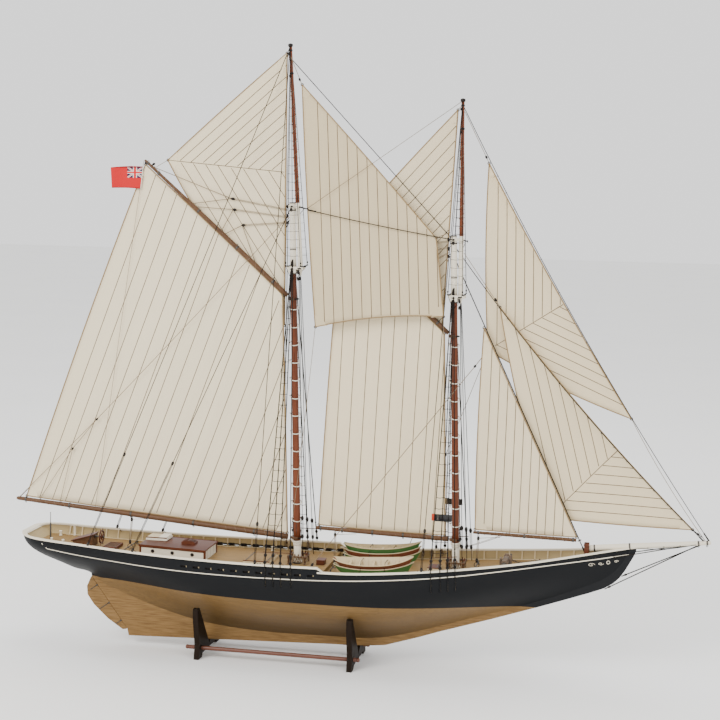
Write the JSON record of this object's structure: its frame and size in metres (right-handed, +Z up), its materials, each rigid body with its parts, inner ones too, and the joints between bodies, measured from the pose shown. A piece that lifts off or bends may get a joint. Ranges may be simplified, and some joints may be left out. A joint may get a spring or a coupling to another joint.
{
  "type": "model sailing ship",
  "caption": "Display model of a gaff-rigged fishing schooner under full sail on a wooden cradle stand, with swinging booms, rudder, wheel and windlass.",
  "frame": {"origin": "bottom centre of the overall box, under the stand feet", "axes": "+X towards the bow, +Y to port, +Z up"},
  "size_m": [0.7963, 0.1338, 0.6904],
  "materials": {
    "topside_black": "satin paint over wood",
    "bottom_tan": "varnished wood",
    "deck_planks": "satin wood",
    "mast_wood": "satin stained wood",
    "spar_wood": "satin stained wood",
    "white_paint": "satin paint over wood",
    "mahogany": "satin stained wood",
    "stand_wood": "satin stained wood",
    "keel_wood": "varnished wood",
    "sail_cloth": "woven cotton",
    "dark_line": "twisted thread",
    "pale_line": "twisted thread",
    "block_black": "satin",
    "flag_cloth": "woven cotton",
    "dark_metal": "satin",
    "dory_green": "satin paint over wood",
    "dory_brown": "satin paint over wood",
    "board_paint": "satin paint over wood"
  },
  "bodies": {
    "stand": {"cradle_aft": "stand_wood", "cradle_fore": "stand_wood", "stand_rods": "stand_wood"},
    "ship": {"backbone": "keel_wood", "topside_planking": "topside_black", "bottom_planking": "bottom_tan", "bulkheads": "bottom_tan", "quarter_deck": "deck_planks", "main_deck": "deck_planks", "cap_rail": "white_paint", "cabin_walls": "white_paint", "roofs": "mahogany", "wheel_box": "mahogany", "hatches": "mahogany", "portholes": "dark_metal", "deck_posts": "white_paint", "fife_rails": "spar_wood", "sheet_horses": "dark_metal", "windlass_posts": "spar_wood", "anchors": "dark_metal", "dories_lower": "dory_brown", "dories_upper": "dory_green", "dory_chocks": "spar_wood", "lower_masts": "mast_wood", "topmasts": "mast_wood", "mast_tops": "white_paint", "mast_hoops": "white_paint", "bowsprit": "white_paint", "chainplates": "dark_metal", "deadeyes": "block_black", "shrouds": "dark_line", "topmast_shrouds": "dark_line", "headstays": "dark_line", "mast_stays": "dark_line", "bobstays": "dark_line", "runner_blocks": "block_black", "backstays": "dark_line", "halyards": "pale_line", "side_lights": "board_paint", "fisherman": "sail_cloth", "jib": "sail_cloth", "jib_topsail": "sail_cloth"},
    "main_boom": {"main_boom": "spar_wood", "main_gaff": "spar_wood", "mainsail": "sail_cloth", "main_topsail": "sail_cloth", "ensign": "flag_cloth", "main_lines": "pale_line"},
    "fore_boom": {"fore_boom": "spar_wood", "fore_gaff": "spar_wood", "foresail": "sail_cloth", "fore_topsail": "sail_cloth", "fore_lines": "pale_line"},
    "jumbo_boom": {"jumbo_boom": "spar_wood", "jumbo_sail": "sail_cloth", "jumbo_sheet": "pale_line"},
    "rudder": {"rudder": "keel_wood"},
    "steering_wheel": {"steering_wheel": "spar_wood"},
    "windlass": {"windlass_barrel": "spar_wood"}
  },
  "joints": [
    {"name": "ship_lift", "type": "slide", "parent": "stand", "child": "ship", "axis": [0, 0, 1], "range_m": [0, 0.08]},
    {"name": "main_boom_swing", "type": "hinge", "parent": "ship", "child": "main_boom", "pos_m": [-0.05795, 0, 0.11], "axis": [-0.0315, 0, 0.9995], "range_deg": [-6, 6]},
    {"name": "fore_boom_swing", "type": "hinge", "parent": "ship", "child": "fore_boom", "pos_m": [0.1228, 0, 0.115], "axis": [-0.0335, 0, 0.9994], "range_deg": [-8, 1.5]},
    {"name": "jumbo_boom_swing", "type": "hinge", "parent": "ship", "child": "jumbo_boom", "pos_m": [0.26442, 0, 0.1425], "axis": [-0.4328, 0, 0.9015], "range_deg": [-8, 8]},
    {"name": "rudder_swing", "type": "hinge", "parent": "ship", "child": "rudder", "pos_m": [-0.2616, 0, 0.0171], "axis": [-0.5904, 0, 0.8071], "range_deg": [-35, 35]},
    {"name": "wheel_spin", "type": "hinge", "parent": "ship", "child": "steering_wheel", "pos_m": [-0.2928, 0, 0.1243], "axis": [1, 0, 0], "continuous": true},
    {"name": "windlass_spin", "type": "hinge", "parent": "ship", "child": "windlass", "pos_m": [0.178, 0, 0.127], "axis": [0, 1, 0], "continuous": true}
  ]
}
